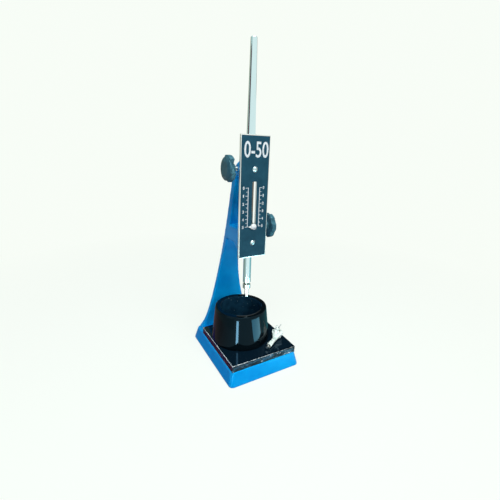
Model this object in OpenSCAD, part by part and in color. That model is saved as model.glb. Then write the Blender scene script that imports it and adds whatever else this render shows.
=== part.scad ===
// Vicat apparatus: a cast stand that guides a weighted plunger down onto a
// conical mould, with a graduated plate and a pointer that rides on the plunger.
// Origin: centre of the base's underside. +Z is up, the scale faces -Y.

/* [Base] */
// Width of the base along X at its underside
base_w = 111; // [108:1:150]
// Depth of the base along Y at its underside
base_d = 137; // [133:1:170]
// Height of the base
base_h = 20; // [16:1:30]
// How far each side leans in from underside to top
base_draft = 4.5; // [2:0.5:6]
// Radius of the base's upright corners
base_corner_r = 6; // [4:1:10]

/* [Glass plate] */
// Width of the glass plate
glass_w = 100; // [96:1:102]
// Depth of the glass plate
glass_d = 105; // [100:1:106]
// Thickness of the glass plate
glass_t = 9.5; // [5:0.5:12]
// Gap from the base's top front edge to the glass
glass_inset = 0.8; // [0.5:0.1:2]

/* [Mould] */
// Height of the conical mould
mould_h = 49; // [40:1:52]
// Outer diameter at the foot
mould_foot_d = 86; // [84:1:92]
// Outer diameter at the rim
mould_rim_d = 74.6; // [70:0.2:80]
// Inner diameter at the foot
mould_bore_foot_d = 70; // [66:1:74]
// Inner diameter at the rim
mould_bore_rim_d = 60; // [56:1:64]
// Place of the mould to the left of the plunger
mould_x = -6.4; // [-7:0.1:0]
// Place of the mould in front of the base's centre
mould_y = -1.2; // [-12:0.1:-1]

/* [Plunger] */
// Diameter of the plunger rod in its guides
rod_d = 11; // [10:0.5:12]
// Diameter of the rod's top end
rod_top_d = 7.6; // [6:0.2:10]
// Height of the rod's top end
rod_top_z = 417.5; // [380:0.5:440]
// Height of the rod's lower shoulder
rod_foot_z = 116; // [110:1:125]
// Place of the plunger axis in front of the base's centre
axis_y = -5; // [-6:0.5:-3]
// Full travel of the plunger, which is the length of the scale
travel = 50; // [40:1:51]

/* [Needle holder] */
// Length of the holder's collar
holder_len = 6.8; // [5:0.2:10]
// Width of the groove between the rod and the collar
groove_len = 3; // [2:0.5:5]
// Diameter of the neck inside the groove
neck_d = 7; // [6:0.5:8]
// Diameter of the spigot that takes a needle
spigot_d = 5.5; // [4:0.5:6]
// Free length of the spigot
spigot_len = 14; // [10:0.5:16]
// Diameter of the grub screw that holds the spigot
grub_d = 2.5; // [2:0.5:3]

/* [Scale plate] */
// Width of the scale plate
plate_w = 41.5; // [38:0.5:46]
// Height of the scale plate's lower edge
plate_z0 = 157.7; // [150:0.1:160]
// Height of the scale plate's upper edge
plate_z1 = 313; // [300:1:320]
// Thickness of the scale plate
plate_t = 3; // [2:0.2:4]
// Thickness of the printed face
face_t = 0.3; // [0.2:0.1:0.5]
// Bare metal rim round the printed face
face_border = 1; // [0.6:0.1:2]
// Width of the pointer slot
slot_w = 6.4; // [5:0.2:8]
// Radius of the pointer slot's corners
slot_corner_r = 1; // [0.5:0.1:1.5]
// Height of the zero line
zero_z = 250; // [246:0.5:251]

/* [Pointer carriage] */
// Outer diameter of the carriage collar
collar_d = 18; // [16:0.5:18.6]
// Height of the carriage collar
collar_h = 10; // [9.5:0.5:13]
// Diameter of the pointer's round boss
pointer_d = 7.6; // [6:0.2:9]
// Reach of the pointer's tip from the plunger axis
pointer_reach = 8; // [7:0.5:9]
// Thickness of the pointer
pointer_t = 1.2; // [0.8:0.1:2]
// Gap from the printed face to the pointer
pointer_gap = 0.7; // [0.5:0.1:1.5]
// How far the loosened carriage can be set up the rod
adjust = 5; // [3:0.5:5]

/* [Column] */
// Half width of the column's slender neck, before its flare
neck_half_w = 4; // [4:0.5:7]
// Half width that the long flare adds at the foot
flare_half_w = 38; // [30:1:39]
// Height over which the flare fades
flare_len = 88; // [70:1:100]
// Half width that the foot's fillet adds
foot_half_w = 5; // [2:0.5:6]
// Height over which the foot's fillet fades
foot_len = 8; // [5:1:12]
// Thickness of the column's lower half
column_t = 6; // [5:0.5:8]
// Extra thickness at the arms
column_arm_t = 6; // [4:0.5:8]
// Extra thickness at the foot
column_foot_t = 4; // [3:0.5:5]
// Forward lean of the upper column for each unit of height
lean = 0.19; // [0.12:0.01:0.2]
// Height where the column starts to lean
lean_z = 95; // [85:1:110]
// Height over which the lean comes in
lean_soft = 40; // [30:1:50]

/* [Arms] */
// Diameter of the two guide bosses
boss_d = 26; // [24:1:28]
// Height of the lower boss's underside
low_boss_z = 164; // [162:1:168]
// Height of the lower boss's top, where the carriage rests
low_top_z = 191.5; // [190:0.5:193]
// Height of the upper boss's underside
high_boss_z = 262; // [260:1:265]
// Height of the upper boss's top
high_top_z = 283; // [280:1:290]
// Depth of each arm along Z
arm_h = 21; // [16:1:21]
// Radius that rounds the column's top into the upper arm
crown_r = 30; // [20:1:34]
// Outer diameter of the guide bushes
bush_d = 15; // [14:0.5:16]
// Length of each guide bush
bush_len = 6; // [4:0.5:7]

/* [Clamp knobs] */
// Diameter across the lobes of the left knob
left_knob_d = 33; // [30:1:36]
// Diameter across the lobes of the right knob
right_knob_d = 34; // [30:1:36]
// Number of lobes on the left knob
left_lobes = 3; // [3:1:5]
// Number of lobes on the right knob
right_lobes = 6; // [5:1:8]
// Depth of the scallops between the left knob's lobes
left_scallop = 7; // [5:0.5:7.5]
// Depth of the scallops between the right knob's lobes
right_scallop = 1.8; // [1.4:0.1:3]
// Thickness of a knob's head
knob_t = 9; // [7:0.5:12]
// Depth of the bevel round a knob's outer face
knob_bevel = 2.5; // [1:0.5:3]
// Thickness of the round cap behind a knob's bevel
knob_cap_t = 1.5; // [1:0.5:3]
// Diameter of the round cap for each unit of the head's diameter
knob_cap = 0.87; // [0.8:0.01:0.92]
// Diameter of the flat outer face for each unit of the head's diameter
knob_face = 0.58; // [0.5:0.02:0.7]
// Diameter of a knob's hub where it meets the head
hub_d = 14; // [12:0.5:15]
// Diameter of a knob's hub at its free end
hub_end_d = 12.5; // [9:0.5:13]
// Length of a knob's hub
hub_len = 4; // [3:0.5:6]
// Distance from the plunger axis to the left knob's head
left_head_x = 27.5; // [26:0.5:34]
// Distance from the plunger axis to the right knob's head
right_head_x = 28; // [27:0.5:34]
// Diameter of the left clamp stud
left_stud_d = 5.5; // [5:0.5:6.5]
// Diameter of the right clamp stud
right_stud_d = 5; // [4:0.5:5.5]
// Diameter of the brass pads on the studs
pad_d = 4; // [3:0.5:4.5]
// Thickness of the brass pads
pad_t = 1.5; // [1:0.1:2]
// How far the left clamp boss stands out from the plunger axis
clamp_boss_x = 17; // [15.5:0.5:18]
// Diameter of the left clamp boss
clamp_boss_d = 15; // [12:0.5:18]
// How far the carriage's clamp boss stands out from the plunger axis
side_boss_x = 15; // [12:0.5:18]
// Diameter of the carriage's clamp boss
side_boss_d = 8.5; // [7.5:0.5:9]

/* [Screws] */
// Shank diameter of the scale screws and the column bolts
screw_d = 4; // [3:0.5:4]
// Head diameter of the scale screws
screw_head_d = 7; // [6:0.2:8]
// Rise of the scale screws' round heads
screw_head_h = 2.4; // [1.5:0.1:3]
// Depth of the thread in the bosses
screw_depth = 3.4; // [2.5:0.1:3.5]
// Head diameter of the column bolts
bolt_head_d = 7; // [6:0.5:8]
// Head height of the column bolts
bolt_head_h = 4; // [3:0.5:5]
// Depth of the bolt thread in the column's foot
bolt_depth = 9; // [6:1:10]
// Distance between the column bolts
bolt_pitch = 34; // [28:1:38]

/* [Needle bag] */
// Radius of the bag's bunched end
bag_r = 8; // [7.5:0.5:9]
// Place of the bunched end along X
bag_x = 38.5; // [38:0.5:41]
// Distance from the glass plate's front edge to the bunched end
bag_front = 29.7; // [27.2:0.5:30.2]
// Length of the bag's tail from the middle of the bunched end
bag_tail_len = 31; // [26:1:34]
// Diameter of the bag's tail
bag_tail_d = 7.2; // [7:0.1:8]
// Turn of the tail about Z
bag_turn = 214; // [212:1:216]
// Diameter of the final needle's shank
shank_d = 4.2; // [3.4:0.1:4.4]
// Length of the final needle's shank
shank_len = 15; // [12:1:18]
// How far the shank sticks out of the tail
shank_out = 4.5; // [2:0.5:6]
// Diameter of the initial needle's stem
stem_d = 3; // [2.4:0.1:3.2]
// Length of the initial needle's stem
stem_len = 8; // [5:0.5:9]
// Diameter of a needle's point
needle_tip_d = 1.13; // [1:0.01:1.2]

/* [Fits] */
// Running clearance round the plunger and the studs
run_gap = 0.05; // [0.03:0.01:0.08]
// Clearance round parts that must not touch
free_gap = 0.3; // [0.25:0.05:0.5]
// Clearance round screw shanks
thread_gap = 0.05; // [0.03:0.01:0.1]
// Chamfer on turned edges
edge = 0.6; // [0.3:0.1:1]

/* [Hidden] */
$fn = 72;
eps = 0.01;

// places that follow from the sizes
glass_y = -base_d / 2 + base_draft + glass_inset + glass_d / 2;
glass_top = base_h + glass_t;
rod_r = rod_d / 2;
boss_r = boss_d / 2;
bush_r = bush_d / 2;
foot_back_y = base_d / 2 - base_draft;
arm_thick_z0 = 110;
arm_thick_z1 = 200;
bolt_top_z = base_h + bolt_depth;
foot_mid_y = column_back(bolt_top_z) - column_thick(bolt_top_z) / 2;
pointer_z = zero_z - travel;
collar_mid_z = low_top_z + collar_h / 2;
clamp_z = (high_boss_z + high_top_z) / 2;
low_screw_z = (low_boss_z + low_top_z) / 2;
// the bosses' front flats carry the scale plate, just ahead of the carriage
flat_y = axis_y - collar_d / 2 - 2 * free_gap - 0.1;
plate_front_y = flat_y - plate_t;
face_front_y = plate_front_y - face_t;
pointer_back_y = face_front_y - pointer_gap;
// the pointer's sleeve runs in the slot, with its screw inside
sleeve_d = slot_w - 2.4;
pin_d = sleeve_d / 2;
slot_z0 = pointer_z - sleeve_d / 2 - 2;
slot_z1 = zero_z + sleeve_d / 2 + adjust + 0.6;
bag_y = glass_y - glass_d / 2 + bag_front;
collar_bottom_z = rod_foot_z - groove_len - holder_len;
spigot_z = collar_bottom_z - spigot_len;
tang_d = 3;
tang_len = 5;
stud_hole_len = 8;
steps = 26;

// ---- column curves ----
function column_half(z) = neck_half_w + flare_half_w * exp(-(z - base_h) / flare_len)
    + foot_half_w * exp(-(z - base_h) / foot_len);
function lean_at(z) = let (t = z - lean_z) lean * (t + sqrt(t * t + lean_soft * lean_soft)) / 2;
function column_back(z) = foot_back_y - lean_at(z) + lean_at(base_h);
function smooth(t) = let (u = min(1, max(0, t))) u * u * (3 - 2 * u);
function column_thick(z) = column_t + column_foot_t * exp(-(z - base_h) / foot_len)
    + column_arm_t * smooth((z - arm_thick_z0) / (arm_thick_z1 - arm_thick_z0));
function column_front(z) = column_back(z) - column_thick(z);
function ramp(a, b, n) = [for (i = [0 : n]) a + (b - a) * i / n];
// heights bunch up near the foot, where the outline curves most
function heights(a, b, n) = [for (i = [0 : n]) a + (b - a) * pow(i / n, 1.5)];

module along_x(x0, x1, y, z, d) {
    translate([x0, y, z]) rotate([0, 90, 0]) cylinder(h = x1 - x0, d = d);
}

module along_y(y0, y1, x, z, d) {
    translate([x, y0, z]) rotate([-90, 0, 0]) cylinder(h = y1 - y0, d = d);
}

module turned_pin(d, len, bevel) {
    cylinder(h = bevel, d1 = d - 2 * bevel, d2 = d);
    translate([0, 0, bevel]) cylinder(h = len - 2 * bevel, d = d);
    translate([0, 0, len - bevel]) cylinder(h = bevel, d1 = d, d2 = d - 2 * bevel);
}

// a ball's cap of base diameter d and height h, standing on the XY plane
module dome(d, h) {
    r = (d * d / 4 + h * h) / (2 * h);
    intersection() {
        translate([0, 0, h - r]) sphere(r = r);
        cylinder(h = h + 1, d = d);
    }
}

// ---- frame ----
module bolt_places() {
    for (i = [-1 : 1]) translate([i * bolt_pitch, foot_mid_y, 0]) children();
}

module base_casting() color("royalblue") difference() {
    hull() for (sx = [-1, 1], sy = [-1, 1])
        translate([sx * (base_w / 2 - base_corner_r), sy * (base_d / 2 - base_corner_r), 0])
            hull() {
                cylinder(h = edge, r = base_corner_r, $fn = 32);
                translate([-sx * base_draft, -sy * base_draft, base_h - edge])
                    cylinder(h = edge, r = base_corner_r, $fn = 32);
            }
    bolt_places() {
        translate([0, 0, -1]) cylinder(h = bolt_head_h + 2, d = bolt_head_d + 1);
        translate([0, 0, -1]) cylinder(h = base_h + 2, d = screw_d + 2 * thread_gap);
    }
}

module column_side_outline() {
    crown_z = high_top_z - crown_r;
    crown_y = column_back(crown_z) - crown_r;
    arm_z = low_top_z - arm_h;
    polygon(concat(
        [for (z = heights(base_h, crown_z, steps)) [column_back(z), z]],
        [for (a = ramp(6, 90, 10)) [crown_y + crown_r * cos(a), crown_z + crown_r * sin(a)]],
        [[axis_y, high_top_z], [axis_y, high_top_z - arm_h]],
        [for (z = ramp(high_top_z - arm_h, low_top_z, 10)) [column_front(z), z]],
        [[axis_y, low_top_z], [axis_y, low_boss_z]],
        [[axis_y + boss_r, low_boss_z], [axis_y + boss_r + 8, arm_z]],
        [for (i = [0 : steps]) let (z = heights(base_h, arm_z, steps)[steps - i]) [column_front(z), z]]
    ));
}

module column_front_outline() {
    rows = heights(base_h, high_top_z, steps);
    polygon(concat(
        [for (z = rows) [column_half(z), z]],
        [for (i = [0 : steps]) [-column_half(rows[steps - i]), rows[steps - i]]]
    ));
}

module boss_blank(z0, z1) {
    intersection() {
        translate([0, axis_y, z0]) turned_pin(boss_d, z1 - z0, edge);
        translate([-boss_d, flat_y, z0]) cube([2 * boss_d, 2 * boss_d, z1 - z0]);
    }
}

module column_casting() color("royalblue") difference() {
    union() {
        intersection() {
            rotate([90, 0, 90]) translate([0, 0, -base_w / 2]) linear_extrude(base_w) column_side_outline();
            rotate([90, 0, 0]) translate([0, 0, -base_d]) linear_extrude(2 * base_d) column_front_outline();
        }
        boss_blank(low_boss_z, low_top_z);
        boss_blank(high_boss_z, high_top_z);
        along_x(-clamp_boss_x, -rod_r - 2, axis_y, clamp_z, clamp_boss_d);
    }
    for (z = [low_boss_z, high_boss_z]) translate([0, axis_y, z - 1])
        cylinder(h = boss_d * 1.5, r = rod_r + free_gap);
    translate([0, axis_y, high_top_z - bush_len]) cylinder(h = bush_len + 1, r = bush_r);
    translate([0, axis_y, low_boss_z - 1]) cylinder(h = bush_len + 1, r = bush_r);
    along_x(-clamp_boss_x - 1, 0, axis_y, clamp_z, left_stud_d + 2 * run_gap);
    for (z = [low_screw_z, clamp_z])
        along_y(flat_y - 1, flat_y + screw_depth, 0, z, screw_d + 2 * thread_gap);
    bolt_places() translate([0, 0, base_h - 1]) cylinder(h = bolt_depth + 2, d = screw_d + 2 * thread_gap);
}

module column_bolts() color("dimgray") bolt_places() {
    difference() {
        cylinder(h = bolt_head_h, d = bolt_head_d);
        translate([0, 0, -1]) cylinder(h = bolt_head_h / 2 + 1, d = bolt_head_d / 2, $fn = 6);
    }
    translate([0, 0, bolt_head_h - eps]) cylinder(h = base_h - bolt_head_h + bolt_depth, d = screw_d);
}

module guide_bush(z) {
    translate([0, axis_y, z]) difference() {
        cylinder(h = bush_len, r = bush_r);
        translate([0, 0, -1]) cylinder(h = bush_len + 2, r = rod_r + run_gap);
    }
}

module upper_guide_bush() color("goldenrod") guide_bush(high_top_z - bush_len);
module lower_guide_bush() color("goldenrod") guide_bush(low_boss_z);

// ---- scale plate ----
module slot_hole(y0, y1, w) {
    r = slot_corner_r;
    h = slot_z1 - slot_z0;
    for (x = [r - w / 2, w / 2 - r], z = [slot_z0 + r, slot_z1 - r]) along_y(y0, y1, x, z, 2 * r);
    translate([-w / 2, y0, slot_z0 + r]) cube([w, y1 - y0, h - 2 * r]);
    translate([r - w / 2, y0, slot_z0]) cube([w - 2 * r, y1 - y0, h]);
}

module plate_blank(border, y0, t, hole_d) {
    difference() {
        translate([-plate_w / 2 + border, y0, plate_z0 + border])
            cube([plate_w - 2 * border, t, plate_z1 - plate_z0 - 2 * border]);
        slot_hole(y0 - 1, y0 + t + 1, slot_w);
        for (z = [low_screw_z, clamp_z]) along_y(y0 - 1, y0 + t + 1, 0, z, hole_d);
    }
}

module scale_plate() color("silver") plate_blank(0, plate_front_y, plate_t, screw_d + 2 * thread_gap);
module scale_face() color("darkslategray") plate_blank(face_border, face_front_y, face_t, screw_head_d + 0.4);

module scale_screws() color("silver") for (z = [low_screw_z, clamp_z]) {
    translate([0, plate_front_y, z]) rotate([90, 0, 0]) dome(screw_head_d, screw_head_h);
    along_y(plate_front_y - eps, flat_y + screw_depth - 0.2, 0, z, screw_d);
}

// ---- plunger ----
module plunger_rod() color("gainsboro") difference() {
    translate([0, axis_y, 0]) {
        translate([0, 0, rod_foot_z]) cylinder(h = plate_z1 - rod_foot_z, d = rod_d);
        translate([0, 0, plate_z1]) cylinder(h = rod_top_z - edge - plate_z1, d1 = rod_d, d2 = rod_top_d);
        translate([0, 0, rod_top_z - edge]) cylinder(h = edge, d1 = rod_top_d, d2 = rod_top_d - 2 * edge);
    }
    translate([0, axis_y, rod_foot_z - 1]) cylinder(h = stud_hole_len + 1, d = neck_d - 2 + 2 * thread_gap);
}

module needle_holder() color("lightgray") difference() {
    translate([0, axis_y, collar_bottom_z]) {
        cylinder(h = 2 * edge, d1 = rod_d - 4 * edge, d2 = rod_d);
        translate([0, 0, 2 * edge]) cylinder(h = holder_len - 2 * edge, d = rod_d);
        translate([0, 0, holder_len]) cylinder(h = groove_len, d = neck_d);
        translate([0, 0, holder_len + groove_len - eps]) cylinder(h = stud_hole_len - 0.5, d = neck_d - 2);
    }
    translate([0, axis_y, collar_bottom_z - 1]) cylinder(h = tang_len + 1, d = tang_d + 2 * thread_gap);
    along_x(0, rod_d, axis_y, collar_bottom_z + holder_len / 2, grub_d + 2 * thread_gap);
}

module holder_grub_screw() color("dimgray")
    along_x(tang_d / 2 + thread_gap, rod_r - 0.2, axis_y, collar_bottom_z + holder_len / 2, grub_d);

module needle_spigot() color("whitesmoke") translate([0, axis_y, spigot_z]) {
    tip_h = spigot_d / 3;
    translate([0, 0, tip_h]) mirror([0, 0, 1]) dome(spigot_d, tip_h);
    translate([0, 0, tip_h - eps]) cylinder(h = spigot_len - tip_h + eps, d = spigot_d);
    translate([0, 0, spigot_len - eps]) cylinder(h = tang_len - 0.2, d = tang_d);
}

module carriage_collar() color("silver") difference() {
    union() {
        translate([0, axis_y, low_top_z]) turned_pin(collar_d, collar_h, edge);
        along_x(0, side_boss_x, axis_y, collar_mid_z, side_boss_d);
    }
    translate([0, axis_y, low_top_z - 1]) cylinder(h = collar_h + 2, d = rod_d + 2 * run_gap);
    along_x(0, side_boss_x + 1, axis_y, collar_mid_z, right_stud_d + 2 * run_gap);
    along_y(axis_y - collar_d, axis_y, 0, pointer_z, pin_d + 2 * thread_gap);
}

module pointer() color("whitesmoke") difference() {
    union() {
        translate([0, pointer_back_y, pointer_z]) rotate([90, 0, 0]) linear_extrude(pointer_t) {
            circle(d = pointer_d);
            polygon([[0, pointer_d / 2 - 0.1], [-pointer_reach, 0], [0, -pointer_d / 2 + 0.1]]);
        }
        along_y(pointer_back_y - eps, axis_y - collar_d / 2 + 0.4, 0, pointer_z, sleeve_d);
    }
    along_y(pointer_back_y - 2 * pointer_t, axis_y, 0, pointer_z, pin_d + 2 * thread_gap);
    translate([0, axis_y, pointer_z - sleeve_d]) cylinder(h = 2 * sleeve_d, d = collar_d + 2 * thread_gap);
}

module pointer_screw() color("white") {
    translate([0, pointer_back_y - pointer_t, pointer_z]) rotate([90, 0, 0]) dome(pointer_d - 1, 1.8);
    along_y(pointer_back_y - pointer_t - eps, axis_y - rod_r - free_gap, 0, pointer_z, pin_d);
}

// ---- clamp knobs, drawn with the head's inner face at the origin and +X outwards ----
module knob_shape(d, bore_d, lobes, depth, turn) {
    // each scallop takes half of its lobe's share of the rim
    half_chord = d / 2 * sin(90 / lobes);
    bite = depth - d / 2 * (1 - cos(90 / lobes));
    scallop_r = (half_chord * half_chord + bite * bite) / (2 * bite);
    cap_z = knob_t - knob_bevel;
    cap_r = knob_cap * d / 2;
    difference() {
        rotate([0, 90, 0]) {
            difference() {
                rotate_extrude() polygon([
                    [0, 0], [d / 2 - edge, 0], [d / 2, edge],
                    [d / 2, cap_z - edge], [d / 2 - edge, cap_z], [0, cap_z]
                ]);
                for (i = [0 : lobes - 1]) rotate(turn + 360 / lobes * i)
                    translate([d / 2 - depth + scallop_r, 0, -1]) cylinder(h = knob_t, r = scallop_r);
            }
            rotate_extrude() polygon([
                [0, cap_z - knob_cap_t], [cap_r, cap_z - knob_cap_t], [cap_r, cap_z + knob_bevel / 4],
                [knob_face * d / 2, knob_t], [0, knob_t]
            ]);
            translate([0, 0, -hub_len]) cylinder(h = hub_len + 1, d1 = hub_end_d, d2 = hub_d);
        }
        along_x(-hub_len - 1, knob_t - 2, 0, 0, bore_d);
    }
}

module left_knob() color("#1d3038")
    translate([-left_head_x, axis_y, clamp_z]) mirror([1, 0, 0])
        knob_shape(left_knob_d, left_stud_d + 2 * thread_gap, left_lobes, left_scallop, -105);

module left_clamp_stud() color("silver")
    along_x(-left_head_x - knob_t + 2, -rod_r - free_gap - pad_t, axis_y, clamp_z, left_stud_d);

module left_pressure_pad() color("gold")
    along_x(-rod_r - free_gap - pad_t, -rod_r - free_gap, axis_y, clamp_z, pad_d);

module right_knob() color("#1d3038")
    translate([right_head_x, axis_y, collar_mid_z])
        knob_shape(right_knob_d, right_stud_d + 2 * thread_gap, right_lobes, right_scallop, 60);

module right_clamp_stud() color("silver")
    along_x(rod_r + free_gap + pad_t, right_head_x + knob_t - 2, axis_y, collar_mid_z, right_stud_d);

module right_pressure_pad() color("gold")
    along_x(rod_r + free_gap, rod_r + free_gap + pad_t, axis_y, collar_mid_z, pad_d);

// ---- glass, mould and the needles in their bag ----
module glass_plate() color("#101a20")
    translate([-glass_w / 2, glass_y - glass_d / 2, base_h]) cube([glass_w, glass_d, glass_t]);

module mould_ring() color("#0b0d10") translate([mould_x, mould_y, glass_top]) rotate_extrude() polygon([
    [mould_bore_foot_d / 2, 0],
    [mould_foot_d / 2 - edge, 0],
    [mould_foot_d / 2, edge],
    [mould_rim_d / 2, mould_h - edge],
    [mould_rim_d / 2 - edge, mould_h],
    [mould_bore_rim_d / 2 + edge, mould_h],
    [mould_bore_rim_d / 2, mould_h - edge]
]);

module in_bag() {
    translate([bag_x, bag_y, glass_top + free_gap]) rotate(bag_turn) children();
}

bag_neck_z = 2 * bag_r - 1.6;

// the two needles lie side by side along the tail, each grown by gap
module final_needle_shape(gap) {
    translate([0, -0.7, bag_tail_d / 2]) {
        along_x(-bag_r / 2 - gap, bag_tail_len, 0, 0, needle_tip_d + 2 * gap);
        translate([bag_tail_len + shank_out, 0, 0]) along_x(-shank_len - gap, gap, 0, 0, shank_d + 2 * gap);
    }
}

module initial_needle_shape(gap) {
    translate([0, 2.3, bag_tail_d / 2]) {
        along_x(-bag_r * 0.6 - gap, stem_len - bag_r * 0.6 + gap, 0, 0, stem_d + 2 * gap);
        along_x(0, bag_tail_len + 1.5 + gap, 0, 0, needle_tip_d + 2 * gap);
    }
}

module needle_bag() color("#e8efe9", 0.7) in_bag() difference() {
    union() {
        translate([0, 0, bag_r - 0.8]) sphere(r = bag_r);
        translate([0, 0, bag_tail_d / 2]) rotate([0, 90, 0])
            cylinder(h = bag_tail_len, d1 = bag_tail_d * 1.6, d2 = bag_tail_d);
    }
    translate([-50, -50, -20]) cube([100, 100, 20]);
    translate([-bag_r, -bag_r, bag_neck_z]) cube([2 * bag_r, 2 * bag_r, bag_r]);
    final_needle_shape(thread_gap);
    initial_needle_shape(thread_gap);
}

// the tied neck stands on the bunched end with two short ears
module bag_tie() color("white") in_bag() translate([0, 0, bag_neck_z]) {
    turned_pin(bag_r * 0.7, 2.6, edge);
    for (side = [-1, 1]) translate([0, 0, 1]) rotate([side * 24, 0, 0])
        cylinder(h = bag_r, d1 = 2, d2 = 3.6);
}

module initial_needle() color("silver") in_bag() initial_needle_shape(0);
module final_needle() color("silver") in_bag() final_needle_shape(0);

base_casting();
column_casting();
column_bolts();
upper_guide_bush();
lower_guide_bush();
scale_plate();
scale_face();
scale_screws();
plunger_rod();
needle_holder();
holder_grub_screw();
needle_spigot();
carriage_collar();
pointer();
pointer_screw();
left_knob();
left_clamp_stud();
left_pressure_pad();
right_knob();
right_clamp_stud();
right_pressure_pad();
glass_plate();
mould_ring();
needle_bag();
bag_tie();
initial_needle();
final_needle();
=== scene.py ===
import math

import bmesh
import bpy
from mathutils import Matrix, Vector, noise


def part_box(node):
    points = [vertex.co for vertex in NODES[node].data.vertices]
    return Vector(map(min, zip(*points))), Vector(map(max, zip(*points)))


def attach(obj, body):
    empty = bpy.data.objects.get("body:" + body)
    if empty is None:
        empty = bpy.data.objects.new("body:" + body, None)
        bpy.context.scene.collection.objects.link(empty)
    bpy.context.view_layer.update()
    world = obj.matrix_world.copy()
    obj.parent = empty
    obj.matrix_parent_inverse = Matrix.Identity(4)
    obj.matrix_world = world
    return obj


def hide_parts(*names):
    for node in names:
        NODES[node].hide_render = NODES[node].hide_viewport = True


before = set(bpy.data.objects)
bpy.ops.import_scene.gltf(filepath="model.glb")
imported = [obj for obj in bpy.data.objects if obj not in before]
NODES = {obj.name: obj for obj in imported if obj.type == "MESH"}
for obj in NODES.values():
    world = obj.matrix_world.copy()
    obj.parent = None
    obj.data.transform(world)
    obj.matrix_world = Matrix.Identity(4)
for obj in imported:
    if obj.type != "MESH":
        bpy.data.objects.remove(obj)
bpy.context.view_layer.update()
MM = 0.001


def box_mm(node):
    """A node's lowest and highest corners, in millimetres to a thousandth."""
    return tuple(tuple(round(v / MM, 3) for v in corner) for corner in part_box(node))


def middle(node, axis):
    """The middle of a node's box along one axis, in millimetres."""
    lo, hi = box_mm(node)
    return round((lo[axis] + hi[axis]) / 2, 3)


# the plunger's axis stands at x = 0
AXIS_Y = middle("plunger_rod", 1)


# ---------------------------------------------------------------- mesh helpers
def add_object(name, data):
    ob = bpy.data.objects.new(name, data)
    bpy.context.scene.collection.objects.link(ob)
    return ob


def mesh_object(name, verts, faces, smooth=True, scale=MM):
    me = bpy.data.meshes.new(name)
    me.from_pydata([tuple(c * scale for c in v) for v in verts], [], faces)
    me.update()
    for p in me.polygons:
        p.use_smooth = smooth
    return add_object(name, me)


def bake(ob):
    """Applies the object's modifiers to a fresh mesh."""
    dg = bpy.context.evaluated_depsgraph_get()
    me = bpy.data.meshes.new_from_object(ob.evaluated_get(dg))
    ob.modifiers.clear()
    old = ob.data
    ob.data = me
    bpy.data.meshes.remove(old)


def smooth_by_angle(ob, degrees=35):
    for p in ob.data.polygons:
        p.use_smooth = True
    bm = bmesh.new()
    bm.from_mesh(ob.data)
    limit = math.radians(degrees)
    for e in bm.edges:
        e.smooth = len(e.link_faces) == 2 and e.calc_face_angle(0) < limit
    bm.to_mesh(ob.data)
    bm.free()
    return ob


def copy_of(node, name):
    me = NODES[node].data.copy()
    me.name = name
    me.materials.clear()
    ob = add_object(name, me)
    bm = bmesh.new()
    bm.from_mesh(me)
    bmesh.ops.remove_doubles(bm, verts=bm.verts, dist=1e-6)
    bm.to_mesh(me)
    bm.free()
    return ob


def lathe(name, profile, segments, centre=(0, 0, 0), closed=False):
    """profile: (radius, height) pairs in mm, turned about the upright axis through centre."""
    verts, faces, rings = [], [], []
    for r, h in profile:
        if r < 1e-6:
            rings.append([len(verts)])
            verts.append((0, 0, h))
        else:
            start = len(verts)
            for i in range(segments):
                a = 2 * math.pi * i / segments
                verts.append((r * math.cos(a), r * math.sin(a), h))
            rings.append(list(range(start, start + segments)))
    pairs = list(zip(rings, rings[1:]))
    if closed:
        pairs.append((rings[-1], rings[0]))
    for a, b in pairs:
        for i in range(segments):
            j = (i + 1) % segments
            if len(a) == 1 and len(b) == 1:
                continue
            if len(a) == 1:
                faces.append((a[0], b[j], b[i]))
            elif len(b) == 1:
                faces.append((a[i], a[j], b[0]))
            else:
                faces.append((a[i], a[j], b[j], b[i]))
    placed = [tuple(v + c for v, c in zip(vert, centre)) for vert in verts]
    return smooth_by_angle(mesh_object(name, placed, faces), 28)


def discard(ob):
    me = ob.data
    bpy.data.objects.remove(ob)
    bpy.data.meshes.remove(me)


def joined(name, obs):
    bm = bmesh.new()
    for ob in obs:
        bm.from_mesh(ob.data)
        discard(ob)
    me = bpy.data.meshes.new(name)
    bm.to_mesh(me)
    bm.free()
    return add_object(name, me)


def cut(ob, tool):
    m = ob.modifiers.new("cut", "BOOLEAN")
    m.operation = "DIFFERENCE"
    m.solver = "EXACT"
    m.object = tool
    bake(ob)
    discard(tool)


def rounded_cast(node, name, voxel, passes, bores=()):
    """A cast copy of a CAD solid, with its edges softened and its bores cut clean again.

    voxel is in mm, and each bore is a radius, a start and an end.
    """
    ob = copy_of(node, name)
    m = ob.modifiers.new("remesh", "REMESH")
    m.mode = "VOXEL"
    m.voxel_size = voxel * MM
    bake(ob)
    m = ob.modifiers.new("smooth", "SMOOTH")
    m.factor = 0.5
    m.iterations = passes
    bake(ob)
    for radius, start, end in bores:
        cut(ob, rod_between("bore_tool", start, end, radius))
    smooth_by_angle(ob, 50)
    return ob


def rod_between(name, start, end, radius, segments=64):
    a, b = Vector(start), Vector(end)
    q = (b - a).to_track_quat("Z", "Y")
    verts = []
    for p in (a, b):
        for i in range(segments):
            t = 2 * math.pi * i / segments
            verts.append(tuple(p + q @ Vector((radius * math.cos(t), radius * math.sin(t), 0))))
    faces = [tuple(reversed(range(segments))), tuple(range(segments, 2 * segments))]
    for i in range(segments):
        j = (i + 1) % segments
        faces.append((i, j, segments + j, segments + i))
    return mesh_object(name, verts, faces, smooth=False)


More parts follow.
